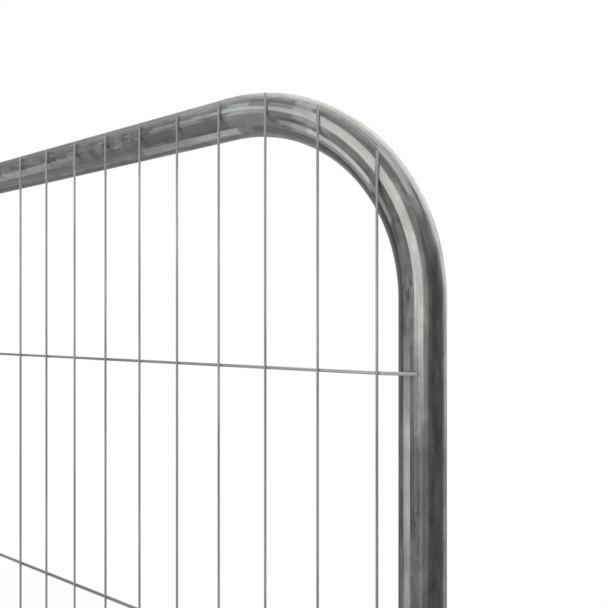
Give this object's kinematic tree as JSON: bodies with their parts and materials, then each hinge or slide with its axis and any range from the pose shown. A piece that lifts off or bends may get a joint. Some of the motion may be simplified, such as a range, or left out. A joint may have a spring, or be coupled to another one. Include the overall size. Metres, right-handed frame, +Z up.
{
  "type": "anti-climb mesh fence panel",
  "caption": "Round-topped site fence panel: a bent steel tube hoop with a bottom rail carries a welded mesh of close vertical wires on widely spaced horizontal wires.",
  "frame": {"origin": "midway between the two legs, at their lower ends, in the middle plane of the tubes", "axes": "+X along the panel to the right as seen from the mesh side, -Y towards the mesh side, +Z up"},
  "size_m": [3.464, 0.0411, 2],
  "materials": {
    "galvanised_tube": "dull galvanised steel tube with soft mottling and drawn streaks",
    "galvanised_wire": "dull galvanised drawn wire",
    "zinc_painted_weld": "weld run touched up with grey zinc paint"
  },
  "bodies": {
    "root": {"bottom_rail": "galvanised_tube", "bottom_rail_weld_left": "zinc_painted_weld", "bottom_rail_weld_right": "zinc_painted_weld", "frame_hoop": "galvanised_tube", "horizontal_wire_1": "galvanised_wire", "horizontal_wire_2": "galvanised_wire", "horizontal_wire_3": "galvanised_wire", "horizontal_wire_4": "galvanised_wire", "horizontal_wire_5": "galvanised_wire", "horizontal_wire_6": "galvanised_wire", "vertical_wire_01": "galvanised_wire", "vertical_wire_02": "galvanised_wire", "vertical_wire_03": "galvanised_wire", "vertical_wire_04_05": "galvanised_wire", "vertical_wire_06_07": "galvanised_wire", "vertical_wire_08_09": "galvanised_wire", "vertical_wire_10_11": "galvanised_wire", "vertical_wire_12_13": "galvanised_wire", "vertical_wire_14_15": "galvanised_wire", "vertical_wire_16_17": "galvanised_wire", "vertical_wire_18_19": "galvanised_wire", "vertical_wire_20_21": "galvanised_wire", "vertical_wire_22_23": "galvanised_wire", "vertical_wire_24_25": "galvanised_wire", "vertical_wire_26_27": "galvanised_wire", "vertical_wire_28_29": "galvanised_wire", "vertical_wire_30_31": "galvanised_wire", "vertical_wire_32_33": "galvanised_wire", "vertical_wire_34_35": "galvanised_wire", "vertical_wire_36_37": "galvanised_wire", "vertical_wire_38_39": "galvanised_wire", "vertical_wire_40_41": "galvanised_wire", "vertical_wire_42_43": "galvanised_wire", "vertical_wire_44_45": "galvanised_wire", "vertical_wire_46_47": "galvanised_wire", "vertical_wire_48_49": "galvanised_wire", "vertical_wire_50_51": "galvanised_wire", "vertical_wire_52_53": "galvanised_wire", "vertical_wire_54_55": "galvanised_wire", "vertical_wire_56_57": "galvanised_wire", "vertical_wire_58_59": "galvanised_wire", "vertical_wire_60_61": "galvanised_wire", "vertical_wire_62_63": "galvanised_wire", "vertical_wire_64": "galvanised_wire", "vertical_wire_65": "galvanised_wire", "vertical_wire_66": "galvanised_wire"}
  },
  "joints": []
}
